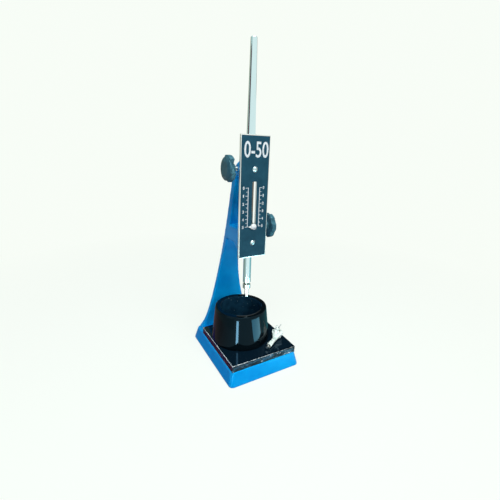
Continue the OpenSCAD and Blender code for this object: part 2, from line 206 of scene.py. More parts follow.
# ------------------------------------------------------------ material helpers
class Mat:
    """Builds one node material step by step."""

    def __init__(self, name, color, rough=0.4, metal=0.0, **sockets):
        self.m = bpy.data.materials.new(name)
        self.m.use_nodes = True
        self.t = self.m.node_tree
        self.b = self.t.nodes["Principled BSDF"]
        self.b.inputs["Base Color"].default_value = (*color, 1)
        self.b.inputs["Roughness"].default_value = rough
        self.b.inputs["Metallic"].default_value = metal
        for k, v in sockets.items():
            self.b.inputs[k.replace("_", " ")].default_value = v
        self.coords = self.t.nodes.new("ShaderNodeTexCoord").outputs["Object"]
        self.height = None

    def link(self, a, b):
        self.t.links.new(a, b)

    def mapped(self, scale=(1, 1, 1)):
        n = self.t.nodes.new("ShaderNodeMapping")
        n.inputs["Scale"].default_value = scale
        self.link(self.coords, n.inputs["Vector"])
        return n.outputs["Vector"]

    def noise(self, scale, detail=3, rough=0.5, stretch=(1, 1, 1), distort=0.0):
        n = self.t.nodes.new("ShaderNodeTexNoise")
        n.inputs["Scale"].default_value = scale
        n.inputs["Detail"].default_value = detail
        n.inputs["Roughness"].default_value = rough
        n.inputs["Distortion"].default_value = distort
        self.link(self.mapped(stretch), n.inputs["Vector"])
        return n.outputs["Fac"]

    def cells(self, scale, feature="F1", stretch=(1, 1, 1)):
        n = self.t.nodes.new("ShaderNodeTexVoronoi")
        n.feature = feature
        n.inputs["Scale"].default_value = scale
        self.link(self.mapped(stretch), n.inputs["Vector"])
        return n.outputs["Distance"]

    def ramp(self, fac, stops):
        n = self.t.nodes.new("ShaderNodeValToRGB")
        e = n.color_ramp.elements
        while len(e) < len(stops):
            e.new(0.5)
        for el, (p, c) in zip(e, stops):
            el.position = p
            el.color = (*c, 1) if isinstance(c, tuple) else (c, c, c, 1)
        self.link(fac, n.inputs["Fac"])
        return n.outputs["Color"]

    def math(self, op, a, b):
        n = self.t.nodes.new("ShaderNodeMath")
        n.operation = op
        for i, v in enumerate((a, b)):
            if isinstance(v, (int, float)):
                n.inputs[i].default_value = v
            else:
                self.link(v, n.inputs[i])
        return n.outputs[0]

    def mix(self, fac, a, b):
        n = self.t.nodes.new("ShaderNodeMix")
        n.data_type = "RGBA"
        for sock, v in ((n.inputs[0], fac), (n.inputs[6], a), (n.inputs[7], b)):
            if isinstance(v, (int, float)):
                sock.default_value = v
            elif isinstance(v, tuple):
                sock.default_value = (*v, 1)
            else:
                self.link(v, sock)
        return n.outputs[2]

    def mottle(self, fac, start, end, a, b):
        """Colour a gives way to colour b as fac rises from start to end."""
        return self.mix(self.ramp(fac, [(start, 0.0), (end, 1.0)]), a, b)

    def height_z(self):
        n = self.t.nodes.new("ShaderNodeSeparateXYZ")
        self.link(self.coords, n.inputs[0])
        return n.outputs["Z"]

    def color(self, out):
        self.link(out, self.b.inputs["Base Color"])

    def rough(self, fac, lo, hi):
        n = self.t.nodes.new("ShaderNodeMapRange")
        n.inputs["To Min"].default_value = lo
        n.inputs["To Max"].default_value = hi
        self.link(fac, n.inputs["Value"])
        self.link(n.outputs[0], self.b.inputs["Roughness"])

    def bump(self, fac, distance_mm, strength=1.0):
        n = self.t.nodes.new("ShaderNodeBump")
        n.inputs["Strength"].default_value = strength
        n.inputs["Distance"].default_value = distance_mm * MM
        self.link(fac, n.inputs["Height"])
        if self.height is not None:
            self.link(self.height, n.inputs["Normal"])
        self.height = n.outputs["Normal"]
        self.link(self.height, self.b.inputs["Normal"])


def paint(ob, mat):
    ob.data.materials.clear()
    ob.data.materials.append(mat.m)


def dress(node, mat):
    ob = NODES[node]
    if ob.material_slots:
        for s in ob.material_slots:
            s.material = mat.m
    else:
        ob.data.materials.append(mat.m)


def lin(h):
    """A colour written as six hex digits, in linear light."""
    vals = [int(h[i : i + 2], 16) / 255 for i in (0, 2, 4)]
    return tuple(v / 12.92 if v <= 0.04045 else ((v + 0.055) / 1.055) ** 2.4 for v in vals)


# -------------------------------------------------------------------- materials
blue = Mat("casting_blue_paint", lin("04a2ec"), 0.34, Coat_Weight=0.02, Coat_Roughness=0.12,
           Specular_IOR_Level=0.4, Specular_Tint=(0.02, 0.55, 1.0, 1))
blue.color(blue.mottle(blue.noise(38, 5, 0.6), 0.35, 0.7, lin("0398e8"), lin("04acf4")))
blue.rough(blue.noise(160, 3), 0.27, 0.42)
blue.bump(blue.noise(34, 2), 0.35, 0.35)
blue.bump(blue.noise(820, 2), 0.03, 0.5)

turned = Mat("turned_steel", (0.70, 0.72, 0.71), 0.25, 1.0)
turned.rough(turned.noise(500, 3, 0.6, (0.3, 0.3, 4.0)), 0.16, 0.36)
turned.bump(turned.noise(1500, 2, 0.5, (0.25, 0.25, 4.0)), 0.01, 0.7)

bright = Mat("bright_plating", (0.88, 0.90, 0.90), 0.12, 1.0)
bright.rough(bright.noise(700, 3), 0.08, 0.22)
bright.bump(bright.noise(500, 3), 0.01, 0.5)

# blackened steel for the bolts and the grub screw, also painted as shade in the driver slots of the plate's
# screws
black_steel_and_slot_shade = Mat("blackened_steel_and_slot_shade", (0.035, 0.036, 0.04), 0.42, 0.7)
black_steel_and_slot_shade.rough(black_steel_and_slot_shade.noise(600, 3), 0.32, 0.55)
black_steel_and_slot_shade.bump(black_steel_and_slot_shade.noise(900, 3), 0.015, 0.6)

bronze = Mat("bush_bronze", (0.55, 0.33, 0.12), 0.3, 1.0)
bronze.rough(bronze.noise(500, 3, 0.5, (0.4, 0.4, 3.0)), 0.2, 0.42)
bronze.bump(bronze.noise(900, 2, 0.5, (0.3, 0.3, 4.0)), 0.01, 0.7)

alu = Mat("plate_aluminium", (0.80, 0.81, 0.80), 0.34, 1.0)
alu.rough(alu.noise(260, 4, 0.6, (8.0, 8.0, 0.4)), 0.26, 0.46)
alu.bump(alu.noise(700, 2, 0.6, (6.0, 6.0, 0.3)), 0.012, 0.7)

slate = Mat("plate_dark_print", lin("1e4658"), 0.42, Specular_IOR_Level=0.2, Specular_Tint=(0.4, 0.8, 1.0, 1))
slate.color(slate.mottle(slate.noise(90, 6, 0.65), 0.35, 0.7, lin("1b4152"), lin("244e60")))
slate.rough(slate.noise(300, 4), 0.30, 0.5)
slate.bump(slate.noise(1100, 3), 0.012, 0.6)

ink = Mat("pale_print", (0.82, 0.86, 0.86), 0.45)
ink.color(ink.mottle(ink.noise(900, 3, 0.6), 0.3, 0.62, (0.55, 0.64, 0.68), (0.86, 0.89, 0.89)))
ink.bump(ink.noise(1500, 2), 0.006, 0.6)

white = Mat("pointer_white_paint", (0.86, 0.88, 0.86), 0.3, Coat_Weight=0.4)
white.color(white.mottle(white.noise(600, 4, 0.6), 0.35, 0.6, (0.72, 0.75, 0.74), (0.9, 0.92, 0.9)))
white.bump(white.noise(900, 2), 0.012, 0.5)

knob_black = Mat("knob_moulded_plastic", lin("33606f"), 0.34, Specular_IOR_Level=0.4,
                 Specular_Tint=(0.5, 0.9, 1.0, 1))
knob_black.color(knob_black.mottle(knob_black.noise(130, 5, 0.6), 0.35, 0.7, lin("2c5563"), lin("3c6c7c")))
knob_black.rough(knob_black.noise(500, 4), 0.28, 0.48)
knob_black.bump(knob_black.noise(420, 4), 0.03, 0.6)

MOULD_BLACK = (0.0012, 0.0032, 0.0050)
gloss = Mat("mould_gloss_black", MOULD_BLACK, 0.07, Specular_IOR_Level=0.2, Specular_Tint=(0.3, 0.7, 1.0, 1))
dust = gloss.ramp(gloss.cells(520), [(0.0, 1.0), (0.055, 0.0)])
few = gloss.ramp(gloss.noise(900, 1), [(0.62, 0.0), (0.66, 1.0)])
gloss.color(gloss.mix(gloss.math("MULTIPLY", dust, few), MOULD_BLACK, (0.16, 0.24, 0.28)))
gloss.rough(gloss.noise(60, 5, 0.6), 0.04, 0.10)
gloss.bump(gloss.noise(55, 2), 0.12, 0.22)
gloss.bump(gloss.noise(800, 2, 0.5, (0.3, 0.3, 4.0)), 0.004, 0.4)

# the bore: its bluish dark colour and its mottle are painted reflection from above; the pale specks are dust
inner = Mat("mould_bore_dust_and_painted_reflection", (0.003, 0.014, 0.028), 0.16, Specular_IOR_Level=0.3,
            Specular_Tint=(0.3, 0.7, 1.0, 1))
specks = inner.ramp(inner.cells(190), [(0.0, 1.0), (0.17, 0.0)])
some = inner.ramp(inner.noise(420, 1), [(0.50, 0.0), (0.58, 1.0)])
bore_painted_reflection = inner.mottle(inner.noise(70, 4, 0.6), 0.35, 0.7, (0.004, 0.024, 0.050), (0.012, 0.056, 0.105))
inner.color(inner.mix(inner.math("MULTIPLY", specks, some), bore_painted_reflection, (0.30, 0.46, 0.54)))
inner.rough(inner.noise(90, 4), 0.12, 0.24)

GLASS_DARK = (0.002, 0.009, 0.018)
glass_top = Mat("glass_dark_face", GLASS_DARK, 0.04, Specular_IOR_Level=0.4, Specular_Tint=(0.3, 0.7, 1.0, 1))
glass_top.color(glass_top.mottle(glass_top.noise(520, 3, 0.7), 0.66, 0.74, GLASS_DARK, (0.03, 0.05, 0.06)))
glass_top.rough(glass_top.noise(60, 4), 0.03, 0.09)
glass_top.bump(glass_top.noise(25, 2), 0.10, 0.15)

glass_edge = Mat("glass_broken_edge", lin("12303c"), 0.14, Specular_IOR_Level=0.3,
                 Specular_Tint=(0.5, 0.8, 1.0, 1))
# the broken edge is dark glass in patches; its paler stops are painted pale-blue reflection, and the white
# flecks are painted glints
shard = glass_edge.cells(110, "SMOOTH_F1", (1, 1, 1.7))
EDGE_TONES_AND_REFLECTIONS = [(0.36, lin("050f14")), (0.50, lin("102c38")), (0.61, lin("2a5c74")), (0.72, lin("86bcd4"))]
edge_tone_and_reflections = glass_edge.ramp(glass_edge.noise(62, 4, 0.65, (1, 1, 1.8), 0.9), EDGE_TONES_AND_REFLECTIONS)
edge_painted_glint = glass_edge.ramp(glass_edge.noise(120, 3, 0.6, (1, 1, 2.2), 1.0), [(0.63, 0.0), (0.69, 1.0)])
glass_edge.color(glass_edge.mix(edge_painted_glint, edge_tone_and_reflections, (0.78, 0.90, 0.94)))
glass_edge.rough(glass_edge.noise(300, 4), 0.08, 0.34)
glass_edge.bump(shard, 0.5, 0.5)
glass_edge.bump(glass_edge.noise(320, 3, 0.6), 0.12, 0.4)

# painted reflection: the left side is coloured dark red in patches as a reflection, with painted pale glints
glass_left_painted_reflection = Mat("glass_side_painted_red_reflection", lin("3a1016"), 0.2, Specular_IOR_Level=0.2,
                 Specular_Tint=(1.0, 0.3, 0.35, 1))
LEFT_RED_REFLECTION_TONES = [(0.34, lin("16080c")), (0.52, lin("4a121a")), (0.68, lin("6e2a34"))]
left_red_reflection = glass_left_painted_reflection.ramp(glass_left_painted_reflection.noise(170, 4, 0.7, (1, 1.0, 2.0)), LEFT_RED_REFLECTION_TONES)
left_painted_glint = glass_left_painted_reflection.ramp(glass_left_painted_reflection.noise(420, 3, 0.7), [(0.66, 0.0), (0.74, 1.0)])
glass_left_painted_reflection.color(glass_left_painted_reflection.mix(left_painted_glint, left_red_reflection, lin("7f93b4")))
glass_left_painted_reflection.bump(glass_left_painted_reflection.cells(190, "SMOOTH_F1"), 0.6, 0.5)

glass_lip = Mat("glass_ground_lip", (0.62, 0.72, 0.76), 0.32, Coat_Weight=0.3)
glass_lip.color(glass_lip.mottle(glass_lip.noise(330, 4, 0.7), 0.42, 0.6, lin("35586a"), (0.84, 0.90, 0.92)))
glass_lip.bump(glass_lip.noise(600, 4), 0.08, 0.8)

film = Mat("bag_clear_film", (0.86, 0.93, 0.89), 0.26, Coat_Weight=0.3, Coat_Roughness=0.1, IOR=1.4)
# painted shade: the film turns a greyish blue in patches laid by noise, standing in for shade among its folds
film_fold_painted_shade = film.noise(230, 4, 0.65, distort=0.8)
film.color(film.mottle(film_fold_painted_shade, 0.30, 0.52, lin("b4d0ca"), (0.90, 0.97, 0.91)))
film.bump(film.noise(340, 4, 0.7, distort=1.4), 0.12, 0.6)

tie_brown = Mat("bag_tie_wire", lin("6a5038"), 0.5)
tie_brown.color(tie_brown.mix(tie_brown.noise(600, 3), lin("5a4230"), lin("7c6046")))
tie_brown.bump(tie_brown.noise(900, 2), 0.02, 0.6)

# the grooves turned into the needle holder are painted dark as shade, between these heights
GROOVE_Z0, GROOVE_Z1 = 113.2, 116.2
HOLDER_STEEL = (0.62, 0.70, 0.68)
holder = Mat("holder_turned_steel", HOLDER_STEEL, 0.24, 1.0)
groove_shade_low = holder.math("GREATER_THAN", holder.height_z(), GROOVE_Z0 * MM)
groove_shade_high = holder.math("LESS_THAN", holder.height_z(), GROOVE_Z1 * MM)
# painted shade: the steel is coloured dark brown inside the groove
holder.color(holder.mix(holder.math("MULTIPLY", groove_shade_low, groove_shade_high), HOLDER_STEEL, (0.13, 0.12, 0.09)))
holder.rough(holder.noise(500, 3, 0.6, (0.3, 0.3, 4.0)), 0.18, 0.34)
holder.bump(holder.noise(1500, 2, 0.5, (0.25, 0.25, 4.0)), 0.006, 0.6)


# ----------------------------------------------------------------- the castings
ROD_WAY_R = 5.8
STUD_Z = 272.5
stud_lo, stud_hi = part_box("left_clamp_stud")
STUD_BORE_R = (stud_hi[2] - stud_lo[2]) / MM / 2 + 0.05
BUSH_R = box_mm("upper_guide_bush")[1][0]
UPPER_BUSH_FOOT = box_mm("upper_guide_bush")[0][2]
LOWER_BUSH_TOP = box_mm("lower_guide_bush")[1][2]
column = rounded_cast("column_casting", "column_cast_form", 0.9, 7, bores=(
    (ROD_WAY_R, (0, AXIS_Y, 150), (0, AXIS_Y, 300)),
    (BUSH_R, (0, AXIS_Y, UPPER_BUSH_FOOT), (0, AXIS_Y, UPPER_BUSH_FOOT + 13)),
    (BUSH_R, (0, AXIS_Y, LOWER_BUSH_TOP - 15), (0, AXIS_Y, LOWER_BUSH_TOP)),
    (STUD_BORE_R, (-30, AXIS_Y, STUD_Z), (0, AXIS_Y, STUD_Z)),
))
paint(column, blue)
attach(column, "frame")
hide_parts("column_casting")

base = rounded_cast("base_casting", "base_cast_form", 1.1, 6)
paint(base, blue)
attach(base, "frame")
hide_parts("base_casting")

for n in ("upper_guide_bush", "lower_guide_bush", "left_pressure_pad", "right_pressure_pad"):
    dress(n, bronze)
for n in ("column_bolts", "holder_grub_screw"):
    dress(n, black_steel_and_slot_shade)


# -------------------------------------------------------------- plate and print
plate = copy_of("scale_plate", "scale_plate_form")
m = plate.modifiers.new("bevel", "BEVEL")
m.width = 0.35 * MM
m.segments = 2
m.limit_method = "ANGLE"
m.angle_limit = math.radians(50)
bake(plate)
smooth_by_angle(plate, 40)
paint(plate, alu)
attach(plate, "frame")
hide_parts("scale_plate")
dress("scale_face", slate)

FACE_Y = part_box("scale_face")[0][1] / MM
PRINT_T = 0.06
PRINT_SUNK = 0.02
SCALE_TOP_Z = 250.0
TICK_STEP = 5.0
TICKS = 11
LINE_HALF = 0.45
LINE_OVERRUN = 0.4
TICK_HALF = 0.3
LONG_TICK, SHORT_TICK = 3.6, 2.6
FIGURE_H = 3.7
FIGURE_W, ONE_W = 2.3, 1.4


def bar(bm, x0, x1, z0, z1, t=PRINT_T):
    """A thin printed bar standing on the dark face."""
    corners = ((x0, z0), (x1, z0), (x1, z1), (x0, z1))
    depths = (FACE_Y - t, FACE_Y + PRINT_SUNK)
    q = [bm.verts.new((x * MM, y * MM, z * MM)) for y in depths for x, z in corners]
    bm.faces.new((q[0], q[1], q[2], q[3]))
    for a, b in ((0, 1), (1, 2), (2, 3), (3, 0)):
        bm.faces.new((q[b], q[a], q[a + 4], q[b + 4]))


def scale_marks(name, line_x, side):
    bm = bmesh.new()
    scale_foot_z = SCALE_TOP_Z - TICK_STEP * (TICKS - 1)
    bar(bm, line_x - LINE_HALF, line_x + LINE_HALF, scale_foot_z - LINE_OVERRUN, SCALE_TOP_Z + LINE_OVERRUN)
    for i in range(TICKS):
        z = SCALE_TOP_Z - TICK_STEP * i
        reach = LONG_TICK if i % 2 == 0 else SHORT_TICK
        a, b = sorted((line_x, line_x + side * reach))
        bar(bm, a, b, z - TICK_HALF, z + TICK_HALF, t=PRINT_T * 0.9)
    me = bpy.data.meshes.new(name)
    bm.to_mesh(me)
    bm.free()
    ob = add_object(name, me)
    paint(ob, ink)
    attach(ob, "frame")


scale_marks("left_scale_marks", -9.0, -1)
scale_marks("right_scale_marks", 7.6, 1)


def figure(name, text, x, z, width, height, bold):
    """Printed figures of a given width and height in mm, centred at x, z on the dark face."""
    cu = bpy.data.curves.new(name, "FONT")
    cu.body = text
    cu.align_x = "CENTER"
    cu.align_y = "CENTER"
    cu.size = 1
    cu.extrude = 0.5
    cu.offset = bold
    cu.resolution_u = 6
    ob = add_object(name + "_curve", cu)
    bpy.context.view_layer.update()
    dg = bpy.context.evaluated_depsgraph_get()
    me = bpy.data.meshes.new_from_object(ob.evaluated_get(dg))
    bpy.data.objects.remove(ob)
    bpy.data.curves.remove(cu)
    lo = [min(v.co[i] for v in me.vertices) for i in range(3)]
    hi = [max(v.co[i] for v in me.vertices) for i in range(3)]
    for v in me.vertices:
        u = (v.co.x - (lo[0] + hi[0]) / 2) / (hi[0] - lo[0])
        w = (v.co.y - (lo[1] + hi[1]) / 2) / (hi[1] - lo[1])
        d = (v.co.z - lo[2]) / (hi[2] - lo[2])
        y = FACE_Y + PRINT_SUNK - d * (PRINT_T + PRINT_SUNK)
        v.co = ((x + u * width) * MM, y * MM, (z + w * height) * MM)
    me.name = name
    out = add_object(name, me)
    for p in me.polygons:
        p.use_smooth = False
    paint(out, ink)
    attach(out, "frame")


for i in range(6):
    figure_w = ONE_W if i == 1 else FIGURE_W
    figure_z = SCALE_TOP_Z - 2 * TICK_STEP * i
    for side, figure_x in (("left", -15.6), ("right", 13.2)):
        figure("%s_figure_%d" % (side, i), str(i), figure_x, figure_z, figure_w, FIGURE_H, 0.03)
figure("range_figures", "0-50", 1.0, 296.0, 34.0, 19.0, 0.012)


# --------------------------------------------------------------- slotted screws
screw_plate = Mat("screw_plating", (0.50, 0.64, 0.68), 0.24, 1.0)
screw_plate.rough(screw_plate.noise(700, 3), 0.18, 0.34)
screw_plate.bump(screw_plate.noise(500, 3), 0.01, 0.5)


HEAD_D, HEAD_H = 7.0, 2.4
SLOT_DEPTH, SLOT_W = 1.3, 1.1
SHANK_R = 2.0
PLATE_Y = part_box("scale_plate")[0][1] / MM
SCREW_END_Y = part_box("scale_screws")[1][1] / MM
UPPER_SCREW_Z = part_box("scale_screws")[1][2] / MM - HEAD_D / 2
LOWER_SCREW_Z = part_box("scale_screws")[0][2] / MM + HEAD_D / 2


def slotted_screw(name, z, turn):
    """A round screw head that faces -Y on the scale plate, with one driver slot and its shank."""
    d, h = HEAD_D, HEAD_H
    r = (d * d / 4 + h * h) / (2 * h)
    prof = [(0.0, -0.02), (d / 2 - 0.25, -0.02), (d / 2, 0.2)]
    for i in range(1, 13):
        rad = (d / 2) * (1 - i / 12)
        prof.append((rad if i < 12 else 0.0, max(0.2, math.sqrt(max(0, r * r - rad * rad)) - (r - h))))
    dome = lathe(name, prof, 64)
    bm = bmesh.new()
    bm.from_mesh(dome.data)
    bmesh.ops.recalc_face_normals(bm, faces=bm.faces)
    bm.to_mesh(dome.data)
    bm.free()
    corners = [(a * d, b * SLOT_W / 2, c) for a in (-1, 1) for b in (-1, 1) for c in (h - SLOT_DEPTH, h + 2)]
    sides = [(0, 1, 3, 2), (4, 6, 7, 5), (0, 4, 5, 1), (2, 3, 7, 6), (0, 2, 6, 4), (1, 5, 7, 3)]
    cut(dome, mesh_object("slot_tool", corners, sides, smooth=False))
    dome.data.materials.append(screw_plate.m)
    dome.data.materials.append(black_steel_and_slot_shade.m)
    for p in dome.data.polygons:
        c = p.center / MM
        skin = math.sqrt(max(0, r * r - c.x * c.x - c.y * c.y)) - (r - h)
        # painted shade: the walls and floor of the driver slot take the dark steel
        if abs(c.y) < SLOT_W / 2 + 0.02 and -0.01 < c.z < skin - 0.05:
            p.material_index = 1
    face = Matrix.Translation((0, PLATE_Y * MM, z * MM)) @ Matrix.Rotation(math.radians(90), 4, "X")
    dome.data.transform(face @ Matrix.Rotation(math.radians(turn), 4, "Z"))
    shank = rod_between("shank", (0, PLATE_Y + 0.01, z), (0, SCREW_END_Y, z), SHANK_R)
    return [dome, shank]


upper_screw = slotted_screw("upper", UPPER_SCREW_Z, -35)
lower_screw = slotted_screw("lower", LOWER_SCREW_Z, 20)
screws = joined("scale_screws_form", upper_screw + lower_screw)
smooth_by_angle(screws, 30)
# the second slot is the dark steel painted as shade in the driver slots
screws.data.materials.clear()
screws.data.materials.append(screw_plate.m)
screws.data.materials.append(black_steel_and_slot_shade.m)
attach(screws, "frame")
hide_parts("scale_screws")


# ---------------------------------------------------------------------- plunger
rod_lo, rod_hi = box_mm("plunger_rod")
ROD_R, ROD_FOOT, ROD_TOP = rod_hi[0], rod_lo[2], rod_hi[2]
TAPER_Z = box_mm("scale_plate")[1][2]
# straight up to the top of the plate, then a slow taper to a rounded tip
straight = [(0.0, ROD_FOOT), (ROD_R - 0.5, ROD_FOOT), (ROD_R, ROD_FOOT + 0.5)]
straight += [(ROD_R, z) for z in (150, 205, 262, TAPER_Z)]
taper = [(5.05, 340), (4.6, 366), (4.2, 392), (3.85, ROD_TOP - 1.1)]
tip = [(3.3, ROD_TOP - 0.3), (2.6, ROD_TOP), (0.0, ROD_TOP)]
rod = lathe("plunger_rod_form", straight + taper + tip, 128, (0, AXIS_Y, 0))
rod_mat = Mat("rod_polished_steel", (0.66, 0.84, 0.89), 0.16, 1.0)
rod_tone = rod_mat.noise(45, 3, 0.5, (1, 1, 0.15))
rod_mat.color(rod_mat.mottle(rod_tone, 0.3, 0.75, (0.70, 0.87, 0.92), (0.60, 0.77, 0.82)))
rod_mat.rough(rod_mat.noise(160, 2, 0.5, (1, 1, 0.2)), 0.06, 0.12)
paint(rod, rod_mat)
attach(rod, "plunger")
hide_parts("plunger_rod")
dress("needle_holder", holder)
dress("needle_spigot", bright)
dress("carriage_collar", turned)
dress("pointer", white)
dress("pointer_screw", white)


# ------------------------------------------------------------------------ knobs
for side in ("left", "right"):
    head = rounded_cast(side + "_knob", side + "_knob_form", 0.42, 5)
    paint(head, knob_black)
    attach(head, side + "_clamp")
    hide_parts(side + "_knob")
dress("left_clamp_stud", bright)
dress("right_clamp_stud", bright)


# -------------------------------------------------------------------- the mould
MOULD_X, MOULD_Y = middle("mould_ring", 0), middle("mould_ring", 1)
RIM_R = 37.3
BORE_FOOT_R, BORE_RIM_R = 35.0, 30.0
# what lies within this radius, below the rim's edge, is the wall of the bore
BORE_SIDE_R = 35.5
RIM_EDGE = 0.6


def mould():
    """A cone with a conical bore, its rim rounded on both edges."""
    lo, hi = box_mm("mould_ring")
    foot, top = lo[2], hi[2]
    h = top - foot
    foot_r = (hi[0] - lo[0]) / 2

    def outer(t):
        return foot_r + (RIM_R - foot_r) * t

    def bore(t):
        return BORE_FOOT_R + (BORE_RIM_R - BORE_FOOT_R) * t

    prof = [(bore(0), foot), (outer(0) - 0.8, foot)]
    prof += [(outer(0) - 0.2, foot + 0.25), (outer(0.015), foot + 0.9)]
    prof += [(outer(i / 12), foot + h * i / 12) for i in range(1, 12)]
    for inset, drop in ((0, 1.0), (0.25, 0.4), (0.8, 0.05), (1.4, 0)):
        prof.append((RIM_R - inset, top - drop))
    for inset, drop in ((1.2, 0), (0.6, 0.1), (0.2, 0.5), (0.05, 1.1)):
        prof.append((BORE_RIM_R + inset, top - drop))
    prof += [(bore(i / 8), foot + h * i / 8) for i in range(7, 0, -1)]
    ob = lathe("mould_form", prof, 192, (MOULD_X, MOULD_Y, 0), closed=True)
    paint(ob, gloss)
    ob.data.materials.append(inner.m)
    for p in ob.data.polygons:
        c = p.center / MM
        if math.hypot(c.x - MOULD_X, c.y - MOULD_Y) < BORE_SIDE_R and c.z < top - RIM_EDGE:
            p.material_index = 1
    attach(ob, "mould")
    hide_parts("mould_ring")


mould()


# --------------------------------------------------------------- the glass plate
# the ground lip along the top edge is as wide as it is high
LIP_SIZE = 0.55
FACE, EDGE, LIP, LEFT_EDGE = 0, 1, 2, 3


def glass_plate():
    """A thick dark plate: flat faces, a ground lip, and sides broken into shallow shells."""
    (x0, y0, z0), (x1, y1, z1) = box_mm("glass_plate")
    n_side, rows = 150, 12
    loop = []
    for i in range(n_side):
        loop.append((x0 + (x1 - x0) * i / n_side, y0, 0, -1))
    for i in range(n_side):
        loop.append((x1, y0 + (y1 - y0) * i / n_side, 1, 0))
    for i in range(n_side):
        loop.append((x1 - (x1 - x0) * i / n_side, y1, 0, 1))
    for i in range(n_side):
        loop.append((x0, y1 - (y1 - y0) * i / n_side, -1, 0))
    count = len(loop)

    def broken(x, y, z):
        """How deep the side is chipped at a point, in mm."""
        p = Vector((x, y, z * 1.5)) * 0.16
        shell = abs(noise.noise(p + Vector((7, 3, 1))))
        fine = noise.noise(p * 3.1)
        return 0.25 + 1.5 * shell + 0.35 * fine

    verts, faces, mats = [], [], []
    levels = []
    for k in range(rows + 1):
        t = k / rows
        z = z0 + (z1 - LIP_SIZE - z0) * t
        for x, y, nx, ny in loop:
            fall = min(1.0, 4 * t + 0.15) * (1 - 0.75 * t ** 4)
            d = broken(x, y, z) * fall
            verts.append((x - nx * d, y - ny * d, z))
        levels.append(k * count)
    for x, y, nx, ny in loop:
        chip = max(0.0, noise.noise(Vector((x, y, 3)) * 0.35)) * 0.8
        d = LIP_SIZE + chip + (0.2 if ny < 0 or nx < 0 else 0)
        verts.append((x - nx * d, y - ny * d, z1))
    levels.append((rows + 1) * count)
    for k in range(rows + 1):
        for i in range(count):
            j = (i + 1) % count
            faces.append((levels[k] + i, levels[k] + j, levels[k + 1] + j, levels[k + 1] + i))
            nx = loop[i][2]
            mats.append(LIP if k == rows else (LEFT_EDGE if nx < 0 else EDGE))
    faces.append(tuple(levels[-1] + i for i in range(count)))
    faces.append(tuple(reversed(range(count))))
    mats += [FACE, FACE]
    ob = mesh_object("glass_plate_form", verts, faces, smooth=False)
    for mt in (glass_top, glass_edge, glass_lip, glass_left_painted_reflection):
        ob.data.materials.append(mt.m)
    for p, mi in zip(ob.data.polygons, mats):
        p.material_index = mi
    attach(ob, "glass")
    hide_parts("glass_plate")


glass_plate()


# ------------------------------------------------------- the small bag of needles
BAG_X, BAG_Y, BAG_Z = 38.5, -33.5, box_mm("needle_bag")[0][2]
BAG_TURN = math.radians(214)
# rings along the bag, from the closed end behind the bunch to the open tail:
# place along it, half width, half height, height of the centre, centre across
BAG_STATIONS = [
    (-8.2, 0.6, 0.6, 6.9, 0.0),
    (-7.2, 4.2, 3.8, 7.0, 0.0),
    (-5.0, 6.9, 6.4, 7.1, 0.0),
    (-1.5, 8.1, 7.3, 7.4, 0.0),
    (2.2, 7.7, 6.9, 7.2, 0.0),
    (5.0, 5.9, 5.3, 6.0, 0.1),
    (7.6, 4.2, 3.6, 4.6, 0.4),
    (10.5, 3.1, 2.7, 3.8, 0.7),
    (15.0, 2.8, 2.6, 3.6, 0.8),
    (19.0, 2.9, 2.7, 3.6, 0.6),
    (23.0, 3.5, 3.0, 3.7, 0.1),
    (27.5, 3.3, 2.9, 3.6, 0.1),
    (30.5, 3.1, 2.9, 3.5, 0.1),
]
RINGS_PER_STATION = 4
# the film is drawn at this share of the outline, to stay inside the solid
FILM_SHARE = 0.94


def bag_point(u, v, w):
    """A point u along the bag, v across it and w above its underside, in mm."""
    ca, sa = math.cos(BAG_TURN), math.sin(BAG_TURN)
    return (BAG_X + u * ca - v * sa, BAG_Y + u * sa + v * ca, BAG_Z + w)


def bag_film():
    """The crumpled film around the needles, open at the tail."""
    seg = 56
    verts, faces = [], []
    fine = []
    for a, b in zip(BAG_STATIONS, BAG_STATIONS[1:]):
        for k in range(RINGS_PER_STATION):
            t = k / RINGS_PER_STATION
            fine.append(tuple(p + (q - p) * t for p, q in zip(a, b)))
    fine.append(BAG_STATIONS[-1])
    for u, rv, rw, w0, v0 in fine:
        for i in range(seg):
            t = 2 * math.pi * i / seg
            fold = 1 + 0.10 * math.sin(7 * t + u * 0.25) * min(1, abs(u + 9) / 6)
            p = Vector((u * 0.30, math.cos(t) * 1.4, math.sin(t) * 1.4))
            crump = 1 + 0.16 * noise.noise(p) + 0.10 * abs(noise.noise(p * 2.6 + Vector((5, 5, 5))))
            v = v0 + rv * math.cos(t) * fold * crump * FILM_SHARE
            w = w0 + rw * math.sin(t) * fold * crump * FILM_SHARE
            verts.append(bag_point(u, v, max(0.05, w)))
    rows = len(fine)
    for k in range(rows - 1):
        for i in range(seg):
            j = (i + 1) % seg
            faces.append((k * seg + i, k * seg + j, (k + 1) * seg + j, (k + 1) * seg + i))
    faces.append(tuple(reversed(range(seg))))
    body = mesh_object("bag_film_form", verts, faces)
    m = body.modifiers.new("sub", "SUBSURF")
    m.levels = m.render_levels = 1
    bake(body)
    for p in body.data.polygons:
        p.use_smooth = True
    paint(body, film)
    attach(body, "bag")
    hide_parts("needle_bag")


# radius and height above the bag's underside
KNOT_PROFILE = [
    (0.0, 12.6), (2.0, 12.8), (3.1, 13.6), (2.5, 14.6),
    (3.0, 15.6), (2.1, 16.4), (1.6, 17.2), (0.0, 17.4),
]
EAR_FOOT = 16.4
EAR_THICK = 0.25


